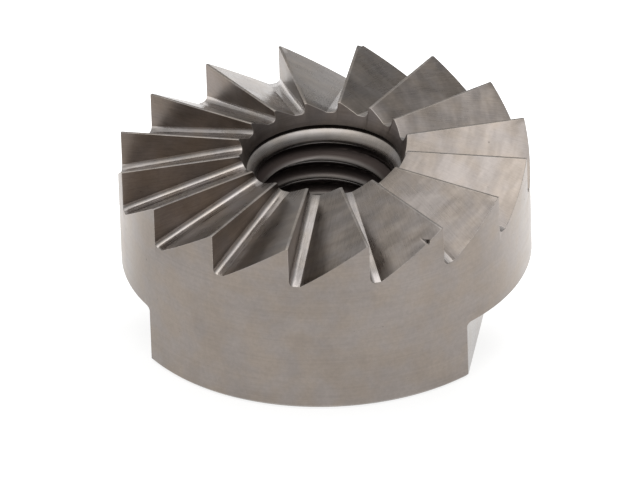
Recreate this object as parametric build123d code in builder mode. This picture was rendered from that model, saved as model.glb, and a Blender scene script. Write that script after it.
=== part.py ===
from build123d import *
from build123d.topology import SkipClean

import os
from math import cos, radians, sin, tan

# Face cutter for an angle grinder spindle: a toothed steel crown carried on a threaded steel bush.
# Millimetres. The origin is the centre of the back face, which seats against the spindle shoulder.
# +Z points up through the teeth, and the two wrench flats face +X and -X.

# Crown
outer_radius = 20.0
total_height = 17.7
rim_chamfer = 0.3

# Wrench flats, milled into the lower part of the crown
across_flats = 31.0
flat_height = 6.0
flat_corner_fillet = 0.4
flat_edge_chamfer = 0.15

# Teeth: radial saw teeth on the top face, each with an upright face and a sloping relief
tooth_count = 16
first_tooth_angle = 20.9
land_width = 0.25
root_width = 1.05
root_fillet = 0.5
gullet_rim_depth = 4.1
gullet_mouth_depth = 1.0
gullet_mouth_radius = 8.2

# Mouth of the bore: a countersink that ends in a thin lip over the bush
mouth_radius = 8.3
lip_radius = 7.5
lip_depth = 2.05
lip_thickness = 0.75

# Bush: a shouldered sleeve pressed in from the back, with a rounded nose that fills the lip
bush_radius = 9.5
bush_chamfer = 0.3
nose_drop = 0.35
nose_chamfer = 0.05
nose_round_height = 0.93
nose_tilt = 15.0
ring_radius = 6.6
ring_depth = 3.65
undercut_radius = 7.3
undercut_depth = 4.2
back_chamfer = 1.4

# Thread M14 x 2, right-handed. Its phase is set by one crest's depth at one angle.
thread_pitch = 2.0
thread_major_radius = 7.0
thread_minor_radius = 5.917
thread_half_angle = 30.0
thread_root_flat = thread_pitch / 8
crest_depth = 5.2
crest_angle = 99.1
groove_turns = 7
groove_overcut = 0.15

lip_top = total_height - lip_depth
lip_underside = lip_top - lip_thickness
nose_top = lip_top - nose_drop
ring_bottom = total_height - ring_depth
undercut_bottom = total_height - undercut_depth
tooth_step = 360 / tooth_count

os.makedirs("parts", exist_ok=True)


def gullet_root_height(reach):
    """Height of a gullet's root, at a distance from the axis along its tooth's cutting edge."""
    slope = (gullet_rim_depth - gullet_mouth_depth) / (outer_radius - gullet_mouth_radius)
    return total_height - gullet_mouth_depth - slope * (reach - gullet_mouth_radius)


# The space of one gullet, from the upright face of the tooth on the X axis to the next tooth's land.
# Its lines run straight outwards, so a ruled loft between two cross-sections makes it exactly.
inner_reach = 0.8 * lip_radius
outer_reach = outer_radius + 1
clear_height = total_height + 1

with BuildPart() as gullet:
    for reach in (inner_reach, outer_reach):
        root_height = gullet_root_height(reach)
        land_edge = reach * tan(radians(tooth_step)) - land_width / cos(radians(tooth_step))
        with BuildSketch(Plane(origin=(reach, 0, 0), x_dir=(0, 1, 0), z_dir=(1, 0, 0))):
            with BuildLine():
                face_line = Line((0, clear_height), (0, root_height + root_fillet))
                corner = TangentArc(face_line @ 1, (root_fillet, root_height), tangent=(0, -1))
                Polyline(
                    corner @ 1,
                    (root_width, root_height),
                    (land_edge, total_height),
                    (land_edge, clear_height),
                    (0, clear_height),
                )
            make_face()
    loft(ruled=True)


# Crown: a turned blank with the countersink and the bush's seat, two milled flats, then the gullets.
with BuildPart() as cutter_crown:
    with BuildSketch(Plane.XZ):
        with BuildLine():
            Polyline(
                (bush_radius, 0),
                (outer_radius, 0),
                (outer_radius, total_height),
                (mouth_radius, total_height),
                (lip_radius, lip_top),
                (lip_radius, lip_underside),
                (bush_radius, lip_underside),
                close=True,
            )
        make_face()
    revolve(axis=Axis.Z)

    with BuildSketch(Plane.XY):
        Rectangle(3 * outer_radius, 3 * outer_radius)
        Rectangle(across_flats, 3 * outer_radius, mode=Mode.SUBTRACT)
    extrude(amount=flat_height, mode=Mode.SUBTRACT)
    flats = cutter_crown.faces().filter_by(Axis.X)
    fillet(flats.edges().filter_by(Axis.Y).group_by(Axis.Z)[-1], radius=flat_corner_fillet)
    flats = cutter_crown.faces().filter_by(Axis.X)
    chamfer(flats.edges().filter_by(Axis.Z), length=flat_edge_chamfer)
    back_face = cutter_crown.faces().sort_by(Axis.Z)[0]
    chamfer(back_face.outer_wire().edges(), length=rim_chamfer)
    back_face = cutter_crown.faces().sort_by(Axis.Z)[0]
    chamfer(back_face.inner_wires()[0].edges(), length=bush_chamfer)

    with PolarLocations(0, tooth_count, start_angle=first_tooth_angle):
        add(gullet.part, mode=Mode.SUBTRACT)

cutter_crown.part.label = "cutter_crown"
export_step(cutter_crown.part, "parts/cutter_crown.step")


# Bush: a turned sleeve, threaded through, then its mouth and its back end opened out past the thread.
with BuildPart() as threaded_bush:
    with BuildSketch(Plane.XZ):
        with BuildLine():
            Polyline(
                (thread_minor_radius, 0),
                (bush_radius - bush_chamfer, 0),
                (bush_radius, bush_chamfer),
                (bush_radius, lip_underside),
                (lip_radius, lip_underside),
                (lip_radius, nose_top - nose_chamfer),
                (lip_radius - nose_chamfer, nose_top),
                (thread_minor_radius, nose_top),
                close=True,
            )
        make_face()
    revolve(axis=Axis.Z)

    # The groove starts below the back face and runs out in the undercut, so the ring stays plain.
    groove_height = total_height - crest_depth + thread_pitch / 2 - crest_angle / 360 * thread_pitch
    groove_start = groove_height - groove_turns * thread_pitch
    groove_inner_radius = thread_minor_radius - groove_overcut
    root_half = thread_root_flat / 2
    mouth_half = root_half + (thread_major_radius - groove_inner_radius) * tan(radians(thread_half_angle))
    with BuildLine():
        Helix(
            pitch=thread_pitch,
            height=undercut_bottom - groove_start,
            radius=thread_major_radius,
            center=(0, 0, groove_start),
        )
    with BuildSketch(Plane.XZ):
        with BuildLine():
            Polyline(
                (thread_major_radius, groove_start + root_half),
                (thread_major_radius, groove_start - root_half),
                (groove_inner_radius, groove_start - mouth_half),
                (groove_inner_radius, groove_start + mouth_half),
                close=True,
            )
        make_face()
    sweep(is_frenet=True, mode=Mode.SUBTRACT)

    # Mouth: the rounded nose, the plain ring, the undercut behind it, and a cone down to the thread.
    with BuildSketch(Plane.XZ):
        with BuildLine():
            nose_start = (lip_radius - nose_chamfer, nose_top)
            ring_wall = Line((ring_radius, ring_bottom), (ring_radius, nose_top - nose_round_height))
            nose_slant = (sin(radians(nose_tilt)), cos(radians(nose_tilt)))
            TangentArc(ring_wall @ 1, nose_start, tangent=nose_slant)
            Polyline(
                nose_start,
                (nose_start[0], total_height),
                (0, total_height),
                (0, undercut_bottom - undercut_radius * tan(radians(thread_half_angle))),
                (undercut_radius, undercut_bottom),
                (undercut_radius, ring_bottom),
                ring_wall @ 0,
            )
        make_face()
    revolve(axis=Axis.Z, mode=Mode.SUBTRACT)

    # Back: a cone wider than the thread.
    with BuildSketch(Plane.XZ):
        back_cone_radius = thread_minor_radius + back_chamfer
        with BuildLine():
            Polyline((0, 0), (back_cone_radius, 0), (0, back_cone_radius), close=True)
        make_face()
    revolve(axis=Axis.Z, mode=Mode.SUBTRACT)

    # The thread's crest is one helical strip, several turns long. Quarters joined without merging
    # their faces leave it as short faces, so that its wall can be measured face by face.
    split(bisect_by=Plane.XZ, keep=Keep.BOTH)
    split(bisect_by=Plane.YZ, keep=Keep.BOTH)

quarters = threaded_bush.part.solids()
with SkipClean():
    joined_bush = quarters[0].fuse(*quarters[1:])
joined_bush.label = "threaded_bush"
export_step(joined_bush, "parts/threaded_bush.step")
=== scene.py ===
import math
import random

import bmesh
import bpy
from mathutils import Matrix, Vector, noise


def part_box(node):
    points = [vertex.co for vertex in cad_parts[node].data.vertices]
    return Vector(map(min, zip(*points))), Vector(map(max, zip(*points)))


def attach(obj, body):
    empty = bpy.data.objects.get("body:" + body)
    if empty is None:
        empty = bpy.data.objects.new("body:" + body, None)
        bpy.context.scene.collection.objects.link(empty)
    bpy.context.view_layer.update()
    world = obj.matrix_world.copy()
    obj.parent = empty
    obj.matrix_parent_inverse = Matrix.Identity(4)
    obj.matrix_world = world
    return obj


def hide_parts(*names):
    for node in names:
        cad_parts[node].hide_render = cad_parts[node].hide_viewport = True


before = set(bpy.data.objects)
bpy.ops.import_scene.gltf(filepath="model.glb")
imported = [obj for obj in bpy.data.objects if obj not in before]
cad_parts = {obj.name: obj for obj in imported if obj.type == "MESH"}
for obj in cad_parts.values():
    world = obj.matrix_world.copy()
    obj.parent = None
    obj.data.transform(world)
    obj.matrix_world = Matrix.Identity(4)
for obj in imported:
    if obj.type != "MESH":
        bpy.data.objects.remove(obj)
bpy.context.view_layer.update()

# Driving dimensions, in metres. The overall ones come from the frame, the rest repeat the design.
MM = 0.001
CROWN_LOW, CROWN_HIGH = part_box("cutter_crown")
BUSH_LOW, BUSH_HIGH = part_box("threaded_bush")
OUTER_RADIUS = (CROWN_HIGH.x - CROWN_LOW.x) / 2
TOP = CROWN_HIGH.z
BUSH_RADIUS = (BUSH_HIGH.x - BUSH_LOW.x) / 2
RIM_CHAMFER = 0.3 * MM
BUSH_CHAMFER = 0.3 * MM

# Wrench flats
HALF_FLATS = 15.5 * MM
FLAT_HEIGHT = 6.0 * MM
FLAT_CORNER_FILLET = 0.4 * MM

# Teeth
TOOTH_COUNT = 16
STEP = 2 * math.pi / TOOTH_COUNT
FIRST_TOOTH = math.radians(20.9)
LAND_WIDTH = 0.25 * MM
ROOT_WIDTH = 1.05 * MM
ROOT_FILLET = 0.5 * MM
GULLET_RIM_DEPTH = 4.1 * MM
GULLET_MOUTH_DEPTH = 1.0 * MM
GULLET_MOUTH_RADIUS = 8.2 * MM

# Countersink and the lip above the bush
MOUTH_RADIUS = 8.3 * MM
LIP_RADIUS = 7.5 * MM
LIP_TOP = TOP - 2.05 * MM
LIP_UNDERSIDE = LIP_TOP - 0.75 * MM

# Bush: a rounded nose and a plain ring over an undercut, then the thread down to the back cone
NOSE_TOP = LIP_TOP - 0.35 * MM
NOSE_CHAMFER = 0.05 * MM
NOSE_ROUND = 0.93 * MM
NOSE_TILT = math.radians(15)
RING_RADIUS = 6.6 * MM
RING_BOTTOM = TOP - 3.65 * MM
RING_EDGE = 0.1 * MM
UNDERCUT_RADIUS = 7.3 * MM
UNDERCUT_BOTTOM = TOP - 4.2 * MM
BACK_CONE_RADIUS = 7.317 * MM
THREAD_PITCH = 2.0 * MM
THREAD_MAJOR = 7.0 * MM
THREAD_MINOR = 5.917 * MM
THREAD_SLOPE = math.tan(math.radians(30))
CREST_HEIGHT = TOP - 5.2 * MM
CREST_ANGLE = math.radians(99.1)
CREST_ROUND = 0.52 * MM

# Wear: broken edges, one tooth with a blunted tip and one with a nick beside it on the rim
EDGE_BREAK = 0.04 * MM
EDGE_ANGLE = math.radians(21)
EDGE_SEGMENTS = 2
BLUNT_TOOTH = 3
BLUNT_OVERHANG = 0.35 * MM
NICKED_TOOTH = 13
NICK_DROP = 1.02 * MM

# Mesh density, and the heights of two rings of points on the outer wall
RAKE_STRIPS = 3
FILLET_STRIPS = 6
RELIEF_STRIPS = 10
LINE_SEGMENTS = 8
FLAT_FILLET_STEPS = 5
WALL_BASE = 12.5 * MM
WALL_MIDDLE = FLAT_HEIGHT * 1.2
NOSE_STEPS = 16
RING_EDGE_STEPS = 4
BUSH_COLUMNS = 192
THREAD_ROW = 0.06 * MM
SHARP_EDGE = math.radians(35)
HALVINGS = 50

# Colours of the steels, each a little warmer or cooler from place to place
RIM_STEEL = (0.285, 0.252, 0.226)
BORED_STEEL = (0.205, 0.178, 0.163)
RELIEF_STEEL = (0.283, 0.254, 0.233)
RAKE_STEEL = (0.20, 0.170, 0.148)
# The root bands' steel is lighter than the other ground faces: its colour is partly painted highlight
ROOT_STEEL_AND_HIGHLIGHT = (0.43, 0.40, 0.38)
MILLED_STEEL = (0.33, 0.30, 0.275)
# The edges' steel is lighter: partly wear, partly painted highlight along the edges
EDGE_WEAR_AND_HIGHLIGHT = (0.36, 0.33, 0.305)
BUSH_STEEL = (0.30, 0.28, 0.265)
WARM_TINT = (1.01, 0.985, 0.955)
COOL_TINT = (0.99, 1.0, 1.03)

# Colours of oil and oxide in the bore and in the grooves, and of painted shade on the lip's wall and deep
# in the bore
LIP_PAINTED_SHADE = (0.05, 0.042, 0.038, 1.0)
BORE_STAIN = (0.065, 0.058, 0.055, 1.0)
DEEP_BORE_SHADE = (0.04, 0.034, 0.031, 1.0)
GROOVE_STAIN = (0.07, 0.056, 0.052, 1.0)

# Floor: grey paper that glows, more so behind the part and to its right
FLOOR_HALF_SIDE = 5.0
FLOOR_DROP = 0.02 * MM
PAPER_DARK = (0.26, 0.26, 0.26, 1.0)
PAPER_LIGHT = (0.30, 0.30, 0.30, 1.0)
FLOOR_GLOW = 0.82
GLOW_BEHIND = 0.5
GLOW_BESIDE = 0.12

# Room light, and the soft light overhead: a broad halo with a narrow core
ROOM_COLOUR = (1.0, 0.99, 0.975, 1.0)
ROOM_LIGHT = 0.44
ROOM_SLOPE = 0.20
HALO_LIGHT = 0.65
CORE_LIGHT = 1.10

# Camera
CAMERA_AZIMUTH = math.radians(9.13)
CAMERA_ELEVATION = math.radians(30.71)
CAMERA_DISTANCE = 1.2023
CAMERA_ROLL = math.radians(-1.905)
CAMERA_AIM = Vector((-0.61 * MM, -0.1 * MM, 6.97 * MM))
CAMERA_LENS = 694.5


# ---------------------------------------------------------------- materials

# The kinds of surface on the crown, in the order of its material slots.
TURNED, BORED, RELIEF, RAKE, ROOT, MILLED, EDGE = range(7)


class Nodes:
    """A small helper that builds the node tree of one material or world."""

    def __init__(self, owner):
        owner.use_nodes = True
        self.owner = owner
        self.tree = owner.node_tree
        self.shader = self.tree.nodes.get("Principled BSDF")

    def new(self, kind, operation=None):
        node = self.tree.nodes.new("ShaderNode" + kind)
        if operation:
            node.operation = operation
        return node

    def put(self, socket, value):
        """Link the socket to another one, or set it to a plain value."""
        if isinstance(value, bpy.types.NodeSocket):
            self.tree.links.new(value, socket)
        else:
            socket.default_value = value

    def put_all(self, sockets, values):
        for socket, value in zip(sockets, values):
            self.put(socket, value)

    def shade(self, name, value):
        """Set one input of the shader."""
        self.put(self.shader.inputs[name], value)

    def shading(self, name):
        """What one input of the shader is linked to so far."""
        return self.shader.inputs[name].links[0].from_socket

    def math(self, operation, *values):
        node = self.new("Math", operation)
        self.put_all(node.inputs, values)
        return node.outputs[0]

    def add(self, first, second):
        return self.math("ADD", first, second)

    def subtract(self, first, second):
        return self.math("SUBTRACT", first, second)

    def multiply(self, first, second):
        return self.math("MULTIPLY", first, second)

    def vector(self, x, y, z):
        node = self.new("CombineXYZ")
        self.put_all(node.inputs, (x, y, z))
        return node.outputs[0]

    def split(self, vector):
        node = self.new("SeparateXYZ")
        self.put(node.inputs[0], vector)
        return node.outputs["X"], node.outputs["Y"], node.outputs["Z"]

    def scale(self, vector, factor):
        node = self.new("VectorMath", "SCALE")
        self.put(node.inputs[0], vector)
        self.put(node.inputs["Scale"], factor)
        return node.outputs[0]

    def place(self):
        """The object coordinates in millimetres."""
        return self.scale(self.new("TexCoord").outputs["Object"], 1 / MM)

    def noise(self, vector, scale, detail=3.0, roughness=0.55, distortion=0.0):
        node = self.new("TexNoise")
        self.put(node.inputs["Vector"], vector)
        self.put(node.inputs["Scale"], scale)
        self.put(node.inputs["Detail"], detail)
        self.put(node.inputs["Roughness"], roughness)
        self.put(node.inputs["Distortion"], distortion)
        return node.outputs["Fac"]

    def ramp(self, value, low, high, out_low=0.0, out_high=1.0):
        """A smooth step from one output to the other, while the value goes from low to high."""
        node = self.new("MapRange")
        node.interpolation_type = "SMOOTHSTEP"
        self.put_all(node.inputs, (value, low, high, out_low, out_high))
        return node.outputs["Result"]

    def mix(self, factor, first, second):
        """Blend two colours."""
        node = self.new("Mix")
        node.data_type = "RGBA"
        self.put(node.inputs["Factor"], factor)
        colours = [socket for socket in node.inputs if socket.type == "RGBA"]
        self.put_all(colours, (first, second))
        return [socket for socket in node.outputs if socket.type == "RGBA"][0]

    def bump(self, height, strength, distance):
        node = self.new("Bump")
        self.put(node.inputs["Strength"], strength)
        self.put(node.inputs["Distance"], distance)
        self.put(node.inputs["Height"], height)
        return node.outputs["Normal"]


def polar(n):
    """Radius in millimetres, angle in radians and height in millimetres about the part's axis."""
    x, y, z = n.split(n.place())
    radius = n.math("SQRT", n.add(n.multiply(x, x), n.multiply(y, y)))
    return radius, n.math("ARCTAN2", y, x), z


def tooth_coordinates(n):
    """Distance along the nearest gullet's face, distance across it, and the gullet's number."""
    radius, angle, _ = polar(n)
    turn = n.math("DIVIDE", n.subtract(angle, FIRST_TOOTH), STEP)
    number = n.math("FLOOR", turn)
    inside = n.multiply(n.subtract(turn, number), STEP)
    along = n.multiply(radius, n.math("COSINE", inside))
    across = n.multiply(radius, n.math("SINE", inside))
    return along, across, number


def turned_marks(n):
    """Lines round the axis, as a lathe leaves them on the rim, the back and in the countersink."""
    radius, angle, height = polar(n)
    feed = n.multiply(n.add(radius, height), 3.0)
    return n.vector(n.math("COSINE", angle), n.math("SINE", angle), feed)


def ground_marks(n):
    """Lines along a gullet, as a grinding wheel leaves them."""
    along, across, number = tooth_coordinates(n)
    return n.vector(n.multiply(along, 0.35), n.multiply(across, 5.0), n.multiply(number, 9.7))


def rake_marks(n):
    """Lines along a tooth's upright face, where height takes the place of the distance across."""
    along, _, number = tooth_coordinates(n)
    height = n.split(n.place())[2]
    return n.vector(n.multiply(along, 0.35), n.multiply(height, 5.0), n.multiply(number, 4.3))


def milled_marks(n):
    """Level lines, as an end mill leaves them on a wrench flat."""
    x, y, z = n.split(n.place())
    return n.vector(n.multiply(x, 0.5), n.multiply(y, 0.5), n.multiply(z, 5.0))


def chatter_tones(n, strength):
    """Two tones for a ground face: soft bands across it, and a darker stretch towards the bore."""
    along, across, number = tooth_coordinates(n)
    bands = n.noise(n.vector(n.multiply(along, 0.8), n.multiply(across, 0.2), number), 1.0, detail=2.0)
    return [
        n.ramp(bands, 0.35, 0.65, 1 - strength, 1 + strength),
        n.ramp(along, 9.5, 16.0, 0.84, 1.02),
    ]


def tinted(colour, tint):
    return [channel * factor for channel, factor in zip(colour, tint)] + [1.0]


def steel(name, colour, rough, marks, streak=0.12, bump=0.25, patch=0.14, chatter=0.0):
    """Bare tool steel: warm grey, clouded, with tool marks that change its tone, gloss and relief."""
    n = Nodes(bpy.data.materials.new(name))
    place = n.place()
    lines = n.noise(marks(n), 1.6, detail=4.0, roughness=0.6)
    clouds = n.noise(place, 0.22, distortion=0.6)
    grain = n.noise(place, 2.6, detail=5.0, roughness=0.7)
    pits = n.ramp(n.noise(place, 1.9, detail=2.0), 0.74, 0.80)

    tone = n.ramp(clouds, 0.3, 0.7, 1 - patch, 1 + patch)
    tones = [
        n.ramp(lines, 0.25, 0.75, 1 - streak, 1 + streak),
        n.ramp(grain, 0.3, 0.7, 0.95, 1.05),
        n.subtract(1.0, n.multiply(pits, 0.2)),
    ]
    if chatter:
        tones += chatter_tones(n, chatter)
    for factor in tones:
        tone = n.multiply(tone, factor)
    warmth = n.ramp(n.noise(place, 0.35, detail=2.0), 0.35, 0.65)
    hue = n.mix(warmth, tinted(colour, WARM_TINT), tinted(colour, COOL_TINT))

    line_gloss = n.ramp(lines, 0.25, 0.75, rough - 0.04, rough + 0.04)
    gloss = n.add(line_gloss, n.ramp(clouds, 0.3, 0.7, -0.03, 0.05))
    relief = n.add(n.multiply(lines, 0.7), n.multiply(grain, 0.3))
    pitted = n.subtract(relief, n.multiply(pits, 0.5))
    n.shade("Base Color", n.scale(hue, tone))
    n.shade("Roughness", n.add(gloss, n.multiply(pits, 0.2)))
    n.shade("Metallic", 1.0)
    n.shade("Normal", n.bump(pitted, bump, 0.02 * MM))
    return n


def bored_material():
    """The countersink's steel, duller than the rest, with painted shade on the short wall over the nose.
    """
    n = steel("steel_bored", BORED_STEEL, 0.38, turned_marks, streak=0.10, bump=0.3)
    height = n.split(n.place())[2]
    lip_top = LIP_TOP / MM
    # Painted shade: below the lip's top edge, on the short wall over the nose, the colour turns dark
    wall = n.ramp(height, lip_top - 0.03, lip_top + 0.07, 1.0, 0.0)
    n.shade("Base Color", n.mix(wall, n.shading("Base Color"), LIP_PAINTED_SHADE))
    return n.owner


def crown_materials():
    """One steel per kind of surface, in slot order."""
    return [
        steel("steel_turned", RIM_STEEL, 0.34, turned_marks, streak=0.05, bump=0.2, patch=0.07).owner,
        bored_material(),
        steel("steel_relief", RELIEF_STEEL, 0.30, ground_marks, streak=0.09, bump=0.3, chatter=0.10).owner,
        steel("steel_rake", RAKE_STEEL, 0.36, rake_marks, streak=0.12, bump=0.3).owner,
        steel("steel_root_painted_highlight", ROOT_STEEL_AND_HIGHLIGHT, 0.27, ground_marks, streak=0.16, bump=0.3).owner,
        steel("steel_milled", MILLED_STEEL, 0.22, milled_marks, streak=0.10, bump=0.3).owner,
        steel("steel_edge_wear_and_highlight", EDGE_WEAR_AND_HIGHLIGHT, 0.30, turned_marks, streak=0.10, bump=0.2).owner,
    ]


def bush_material():
    """Turned steel, dull below the ring, with painted shade that darkens it with depth, and rough and
    stained in the grooves.
    """
    n = steel("steel_bush", BUSH_STEEL, 0.27, turned_marks, streak=0.08, bump=0.2)
    radius, _, height = polar(n)
    ring_bottom = RING_BOTTOM / MM
    below_ring = n.ramp(height, ring_bottom - 0.07, ring_bottom + 0.03, 1.0, 0.0)
    bore = n.multiply(below_ring, n.ramp(radius, UNDERCUT_RADIUS / MM, LIP_RADIUS / MM, 1.0, 0.0))
    groove = n.multiply(bore, n.ramp(radius, 6.0, 6.4))
    # Painted shade: the bore darkens towards its bottom, fully below 4 mm and fading out by 9 mm
    depth = n.multiply(bore, n.ramp(height, 4.0, 9.0, 1.0, 0.0))
    dull = n.mix(n.multiply(bore, 0.72), n.shading("Base Color"), BORE_STAIN)
    deep = n.mix(depth, dull, DEEP_BORE_SHADE)
    n.shade("Base Color", n.mix(groove, deep, GROOVE_STAIN))
    n.shade("Roughness", n.add(n.shading("Roughness"), n.multiply(groove, 0.25)))
    return n.owner


# ---------------------------------------------------------------- crown

# The crown's turned profile as (r, z), from the rim below the teeth, round the back, up to the lip.
CROWN_PROFILE = [
    (OUTER_RADIUS, WALL_BASE),
    (OUTER_RADIUS, WALL_MIDDLE),
    (OUTER_RADIUS, RIM_CHAMFER),
    (OUTER_RADIUS - RIM_CHAMFER, 0.0),
    (BUSH_RADIUS + BUSH_CHAMFER, 0.0),
    (BUSH_RADIUS, BUSH_CHAMFER),
    (BUSH_RADIUS, LIP_UNDERSIDE),
    (LIP_RADIUS, LIP_UNDERSIDE),
    (LIP_RADIUS, LIP_TOP),
]


def gullet_lines():
    """The straight lines that rule a gullet's surface, from the cutting edge to the next tooth's land.

    Each is (y, slope of y, z, slope of z, kind of the strip after it). The slopes are against the
    distance along the tooth's edge.
    """
    slope = -(GULLET_RIM_DEPTH - GULLET_MOUTH_DEPTH) / (OUTER_RADIUS - GULLET_MOUTH_RADIUS)
    root = TOP - GULLET_MOUTH_DEPTH - slope * GULLET_MOUTH_RADIUS
    lines = []
    for i in range(RAKE_STRIPS):
        t = i / RAKE_STRIPS
        lines.append((0.0, 0.0, (1 - t) * TOP + t * (root + ROOT_FILLET), t * slope, RAKE))
    for i in range(FILLET_STRIPS + 1):
        angle = math.pi * (1 + 0.5 * i / FILLET_STRIPS)
        across = ROOT_FILLET * (1 + math.cos(angle))
        lines.append((across, 0.0, root + ROOT_FILLET * (1 + math.sin(angle)), slope, ROOT))
    for i in range(RELIEF_STRIPS + 1):
        t = i / RELIEF_STRIPS
        across = (1 - t) * ROOT_WIDTH - t * LAND_WIDTH / math.cos(STEP)
        kind = RELIEF if i < RELIEF_STRIPS else EDGE
        lines.append((across, t * math.tan(STEP), (1 - t) * root + t * TOP, (1 - t) * slope, kind))
    return lines


def reach_at_rim(line):
    """Distance along the tooth's edge at which a line leaves the outer cylinder."""
    y, dy = line[:2]
    a = 1 + dy * dy
    return (-y * dy + math.sqrt(a * OUTER_RADIUS ** 2 - y * y)) / a


def reach_at_countersink(line):
    """Distance along the tooth's edge at which a line meets the countersink, found by halving."""
    y, dy, z, dz = line[:4]
    flare = (MOUTH_RADIUS - LIP_RADIUS) / (TOP - LIP_TOP)
    low, high = 0.5 * LIP_RADIUS, 1.5 * MOUTH_RADIUS
    for _ in range(HALVINGS):
        reach = (low + high) / 2
        radius = math.hypot(reach, y + dy * reach)
        if radius < LIP_RADIUS + (z + dz * reach - LIP_TOP) * flare:
            low = reach
        else:
            high = reach
    return (low + high) / 2


def profile_column(mesh, row):
    """The turned profile under one line of a gullet, swinging from its outer end to its inner end."""
    outward = Vector((*row[-1].co.xy, 0)).normalized()
    inward = Vector((*row[0].co.xy, 0)).normalized()
    column = []
    for radius, height in CROWN_PROFILE:
        blend = (radius - LIP_RADIUS) / (OUTER_RADIUS - LIP_RADIUS)
        direction = inward.lerp(outward, blend).normalized()
        column.append(mesh.verts.new((*(radius * direction).xy, height)))
    return column


def crown_mesh():
    """The crown as one closed mesh, with a face kind on every face."""
    mesh = bmesh.new()
    lines = gullet_lines()
    spans = [(reach_at_countersink(line), reach_at_rim(line)) for line in lines]
    rows = []
    kinds = []
    columns = []
    for tooth in range(TOOTH_COUNT):
        angle = FIRST_TOOTH + tooth * STEP
        along = Vector((math.cos(angle), math.sin(angle), 0))
        across = Vector((-math.sin(angle), math.cos(angle), 0))
        for index, (line, (start, end)) in enumerate(zip(lines, spans)):
            y, dy, z, dz, kind = line
            row = []
            for i in range(LINE_SEGMENTS + 1):
                reach = start + (end - start) * i / LINE_SEGMENTS
                place = reach * along + (y + dy * reach) * across
                row.append(mesh.verts.new((place.x, place.y, z + dz * reach)))
            rows.append(row)
            kinds.append(kind)
            columns.append(profile_column(mesh, row) if index >= RAKE_STRIPS else None)

    count = len(rows)
    for i, kind in enumerate(kinds):
        row, after = rows[i], rows[(i + 1) % count]
        for j in range(LINE_SEGMENTS):
            mesh.faces.new((row[j], row[j + 1], after[j + 1], after[j])).material_index = kind

    # An upright face's lines lie over each other, so they have no columns of their own.
    whole = [i for i, column in enumerate(columns) if column]
    for i, after in zip(whole, whole[1:] + whole[:1]):
        between = range(i, i + 1 + (after - i) % count)
        outer = [rows[k % count][-1] for k in between]
        inner = [rows[k % count][0] for k in between]
        left, right = columns[i], columns[after]
        mesh.faces.new(outer + [right[0], left[0]])
        mesh.faces.new(inner + [right[-1], left[-1]]).material_index = BORED
        for k in range(len(CROWN_PROFILE) - 1):
            face = mesh.faces.new((left[k], right[k], right[k + 1], left[k + 1]))
            face.material_index = BORED if CROWN_PROFILE[k][0] < BUSH_RADIUS else TURNED
    bmesh.ops.recalc_face_normals(mesh, faces=mesh.faces)
    return mesh


def to_object(name, mesh):
    data = bpy.data.meshes.new(name)
    mesh.to_mesh(data)
    mesh.free()
    piece = bpy.data.objects.new(name, data)
    bpy.context.scene.collection.objects.link(piece)
    return piece


def prism(name, profile, low, high):
    """A closed prism along Y over a profile of (x, z) points."""
    mesh = bmesh.new()
    ends = [[mesh.verts.new((x, y, z)) for x, z in profile] for y in (low, high)]
    for end in ends:
        mesh.faces.new(end)
    for i in range(len(profile)):
        j = (i + 1) % len(profile)
        mesh.faces.new((ends[0][i], ends[0][j], ends[1][j], ends[1][i]))
    bmesh.ops.recalc_face_normals(mesh, faces=mesh.faces)
    return to_object(name, mesh)


def flat_cutter(name, side):
    """What one wrench flat removes, with a chamfer at the back face and a fillet under its ledge."""
    margin = 1 * MM
    outside = OUTER_RADIUS + 2 * margin
    profile = [
        (HALF_FLATS - RIM_CHAMFER - margin, -margin),
        (HALF_FLATS, RIM_CHAMFER),
        (HALF_FLATS, FLAT_HEIGHT - FLAT_CORNER_FILLET),
    ]
    for i in range(1, FLAT_FILLET_STEPS + 1):
        angle = math.pi - math.pi / 2 * i / FLAT_FILLET_STEPS
        profile.append((
            HALF_FLATS + FLAT_CORNER_FILLET * (1 + math.cos(angle)),
            FLAT_HEIGHT - FLAT_CORNER_FILLET * (1 - math.sin(angle)),
        ))
    profile += [(outside, FLAT_HEIGHT), (outside, -margin)]
    return prism(name, [(side * x, z) for x, z in profile], -OUTER_RADIUS, OUTER_RADIUS)


def chip_cutter(name, centre, size, heading, seed):
    """A small faceted lump, of half-sizes in millimetres, whose overlap with an edge leaves a chip."""
    chance = random.Random(seed)
    mesh = bmesh.new()
    bmesh.ops.create_icosphere(mesh, subdivisions=2, radius=1.0)
    for face in mesh.faces:
        face.material_index = EDGE
    swirl = Matrix.Rotation(chance.uniform(0, math.tau), 3, "Z")
    swirl = swirl @ Matrix.Rotation(chance.uniform(0, math.tau), 3, "X")
    turn = Matrix.Rotation(math.radians(heading), 3, "Z")
    for vertex in mesh.verts:
        shape = swirl @ vertex.co
        shape *= 1 + 0.35 * noise.noise(shape * 1.7 + Vector((seed, 0, 0)))
        vertex.co = turn @ (Vector([a * b for a, b in zip(shape, size)]) * MM) + centre
    return to_object(name, mesh)


def tooth_point(tooth, radius, drop, degrees=0.0):
    """A point some degrees past a tooth's cutting edge and some way below its top."""
    angle = FIRST_TOOTH + tooth * STEP + math.radians(degrees)
    return Vector((radius * math.cos(angle), radius * math.sin(angle), TOP - drop))


def bake(piece):
    """Turn the piece's modifiers into its own mesh."""
    bpy.context.view_layer.update()
    graph = bpy.context.evaluated_depsgraph_get()
    result = bpy.data.meshes.new_from_object(piece.evaluated_get(graph))
    piece.modifiers.clear()
    piece.data = result


def carve(piece, cutters):
    """Subtract the cutters from the piece."""
    for cutter in cutters:
        step = piece.modifiers.new(cutter.name, "BOOLEAN")
        step.operation = "DIFFERENCE"
        step.solver = "EXACT"
        step.object = cutter
    bake(piece)
    for cutter in cutters:
        bpy.data.objects.remove(cutter)


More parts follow.
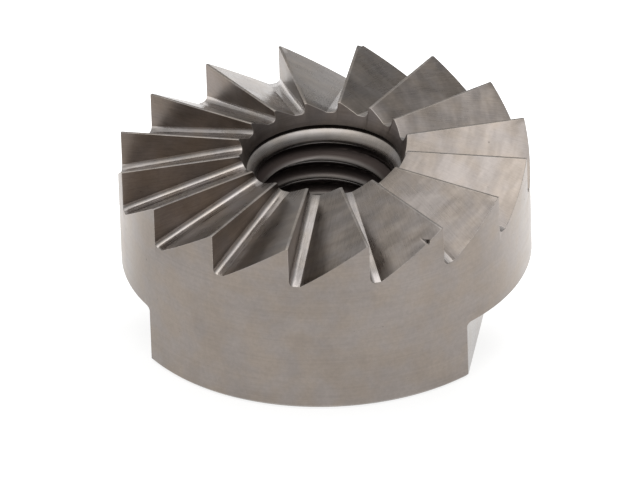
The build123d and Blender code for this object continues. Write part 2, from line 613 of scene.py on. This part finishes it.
def mark_flats(piece):
    """Give the two wrench flats the milled steel."""
    for face in piece.data.polygons:
        sideways = abs(face.normal.x) > 0.98
        outermost = abs(face.center.x) > HALF_FLATS - 0.01 * MM
        if sideways and outermost and face.center.z < FLAT_HEIGHT:
            face.material_index = MILLED


def break_edges(piece):
    """Round every sharp edge a little, and give the rounded strips the worn steel, whose lighter colour is
    partly painted highlight.
    """
    bevel = piece.modifiers.new("edge_break", "BEVEL")
    bevel.width = EDGE_BREAK
    bevel.segments = EDGE_SEGMENTS
    bevel.limit_method = "ANGLE"
    bevel.angle_limit = EDGE_ANGLE
    bevel.use_clamp_overlap = False
    bevel.material = EDGE
    bake(piece)


def chip_teeth(piece):
    """Blunt one tooth's tip and nick the rim beside another."""
    tip = tooth_point(BLUNT_TOOTH, OUTER_RADIUS + BLUNT_OVERHANG, -BLUNT_OVERHANG)
    nick = tooth_point(NICKED_TOOTH, OUTER_RADIUS, NICK_DROP, degrees=-5.0)
    carve(piece, [
        chip_cutter("tip_chip", tip, size=(0.9, 0.9, 0.9), heading=0.0, seed=5),
        chip_cutter("rim_nick", nick, size=(0.75, 0.16, 0.18), heading=-60.0, seed=8),
    ])


def make_crown():
    """The toothed crown, with its flats milled, its edges broken and its teeth a little worn."""
    piece = to_object("crown_body", crown_mesh())
    for material in crown_materials():
        piece.data.materials.append(material)
    carve(piece, [flat_cutter("flat_right", 1), flat_cutter("flat_left", -1)])
    mark_flats(piece)
    break_edges(piece)
    chip_teeth(piece)
    for face in piece.data.polygons:
        face.use_smooth = True
    level = piece.modifiers.new("even_shading", "WEIGHTED_NORMAL")
    level.keep_sharp = True
    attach(piece, "root")
    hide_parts("cutter_crown")


# ---------------------------------------------------------------- bush

def thread_radius(angle, height):
    """Radius of the threaded bore, with rounded crests, opened out by the cones at its two ends."""
    turns = (height - CREST_HEIGHT) / THREAD_PITCH - (angle - CREST_ANGLE) / (2 * math.pi)
    offset = (turns - round(turns)) * THREAD_PITCH
    crest = math.hypot(offset / THREAD_SLOPE, CREST_ROUND) - CREST_ROUND
    radius = min(THREAD_MINOR + crest, THREAD_MAJOR)
    top_cone = UNDERCUT_RADIUS - (UNDERCUT_BOTTOM - height) / THREAD_SLOPE
    return max(radius, top_cone, BACK_CONE_RADIUS - height)


def arc(centre, radius, start, end, steps):
    """Points (r, z) along an arc, with angles in degrees."""
    points = []
    for i in range(steps + 1):
        angle = math.radians(start + (end - start) * i / steps)
        points.append((centre[0] + radius * math.cos(angle), centre[1] + radius * math.sin(angle)))
    return points


def nose_arc():
    """The bush's rounded nose, one arc from the lip's wall down to the ring."""
    foot = Vector((RING_RADIUS, NOSE_TOP - NOSE_ROUND))
    brow = Vector((LIP_RADIUS - NOSE_CHAMFER, NOSE_TOP))
    outwards = Vector((math.cos(NOSE_TILT), -math.sin(NOSE_TILT)))
    chord = brow - foot
    radius = chord.length_squared / (2 * chord.dot(outwards))
    centre = foot + radius * outwards
    start = math.degrees(math.atan2(brow.y - centre.y, brow.x - centre.x))
    return arc(centre, radius, start, 180 - math.degrees(NOSE_TILT), NOSE_STEPS)


def bush_rows(angles):
    """Rings of (r, z) points: up the bush's outside, over its nose, and down its bore."""
    profile = [
        (BUSH_RADIUS - BUSH_CHAMFER, 0.0),
        (BUSH_RADIUS, BUSH_CHAMFER),
        (BUSH_RADIUS, LIP_UNDERSIDE),
        (LIP_RADIUS, LIP_UNDERSIDE),
        (LIP_RADIUS, NOSE_TOP),
    ]
    profile += nose_arc()
    ring_corner = (RING_RADIUS + RING_EDGE, RING_BOTTOM + RING_EDGE)
    profile += arc(ring_corner, RING_EDGE, 180, 270, RING_EDGE_STEPS)
    profile.append((UNDERCUT_RADIUS, RING_BOTTOM))
    rows = [[point] * len(angles) for point in profile]
    levels = math.ceil(UNDERCUT_BOTTOM / THREAD_ROW)
    for level in range(levels + 1):
        height = UNDERCUT_BOTTOM * (1 - level / levels)
        rows.append([(thread_radius(angle, height), height) for angle in angles])
    return rows


def make_bush():
    """The bush as one closed mesh: turned outside and nose, and a thread that is a true helix."""
    angles = [2 * math.pi * i / BUSH_COLUMNS for i in range(BUSH_COLUMNS)]
    mesh = bmesh.new()
    grid = []
    for row in bush_rows(angles):
        grid.append([
            mesh.verts.new((radius * math.cos(angle), radius * math.sin(angle), height))
            for angle, (radius, height) in zip(angles, row)
        ])
    for row, after in zip(grid, grid[1:] + grid[:1]):
        for i in range(BUSH_COLUMNS):
            j = (i + 1) % BUSH_COLUMNS
            mesh.faces.new((row[i], row[j], after[j], after[i]))
    bmesh.ops.recalc_face_normals(mesh, faces=mesh.faces)
    for edge in mesh.edges:
        edge.smooth = edge.calc_face_angle(0.0) < SHARP_EDGE
    for face in mesh.faces:
        face.smooth = True
    piece = to_object("bush_body", mesh)
    piece.data.materials.append(bush_material())
    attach(piece, "root")
    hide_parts("threaded_bush")


# ---------------------------------------------------------------- floor, light and camera

def make_floor():
    """Glowing paper, a hair under the part so that they share no plane, and clear from below."""
    mesh = bmesh.new()
    bmesh.ops.create_grid(mesh, x_segments=1, y_segments=1, size=FLOOR_HALF_SIDE)
    floor = to_object("floor", mesh)
    n = Nodes(bpy.data.materials.new("floor_paper"))
    place = n.place()
    x, y, _ = n.split(place)
    behind = n.ramp(y, -8.0, 12.0, 0.0, GLOW_BEHIND)
    beside = n.ramp(x, 12.0, 26.0, 0.0, GLOW_BESIDE)
    n.shade("Base Color", n.mix(n.noise(place, 0.4, detail=4.0), PAPER_DARK, PAPER_LIGHT))
    n.shade("Roughness", 0.9)
    n.shade("Specular IOR Level", 0.0)
    n.shade("Emission Color", (1.0, 1.0, 1.0, 1.0))
    n.shade("Emission Strength", n.add(FLOOR_GLOW, n.add(behind, beside)))
    underside = n.new("NewGeometry").outputs["Backfacing"]
    clear = n.new("BsdfTransparent").outputs[0]
    choice = n.new("MixShader")
    n.put_all(choice.inputs, (underside, n.shader.outputs[0], clear))
    n.put(n.tree.nodes["Material Output"].inputs["Surface"], choice.outputs[0])
    floor.data.materials.append(n.owner)
    floor.location.z = -FLOOR_DROP


def make_world():
    """A dim room with a broad soft light overhead, darker towards +X."""
    n = Nodes(bpy.data.worlds.new("room"))
    sideways, _, upwards = n.split(n.new("TexCoord").outputs["Generated"])
    room = n.subtract(ROOM_LIGHT, n.multiply(sideways, ROOM_SLOPE))
    halo = n.ramp(upwards, 0.50, 0.92, 0.0, HALO_LIGHT)
    core = n.ramp(upwards, 0.86, 0.985, 0.0, CORE_LIGHT)
    background = n.tree.nodes["Background"]
    n.put(background.inputs["Color"], ROOM_COLOUR)
    n.put(background.inputs["Strength"], n.add(room, n.add(halo, core)))
    bpy.context.scene.world = n.owner


def make_camera():
    """A long lens far away, so that the part shows almost without perspective."""
    data = bpy.data.cameras.new("camera")
    data.lens = CAMERA_LENS
    data.sensor_width = 36.0
    data.clip_start = 0.01
    data.clip_end = 10.0
    camera = bpy.data.objects.new("camera", data)
    bpy.context.scene.collection.objects.link(camera)
    level = math.cos(CAMERA_ELEVATION)
    towards = Vector((
        level * math.sin(CAMERA_AZIMUTH),
        -level * math.cos(CAMERA_AZIMUTH),
        math.sin(CAMERA_ELEVATION),
    ))
    look = towards.to_track_quat("Z", "Y").to_matrix().to_4x4()
    roll = Matrix.Rotation(CAMERA_ROLL, 4, "Z")
    camera.matrix_world = Matrix.Translation(CAMERA_AIM + CAMERA_DISTANCE * towards) @ look @ roll
    bpy.context.scene.camera = camera


make_crown()
make_bush()
make_floor()
make_world()
make_camera()
bpy.context.scene.view_settings.view_transform = "Standard"
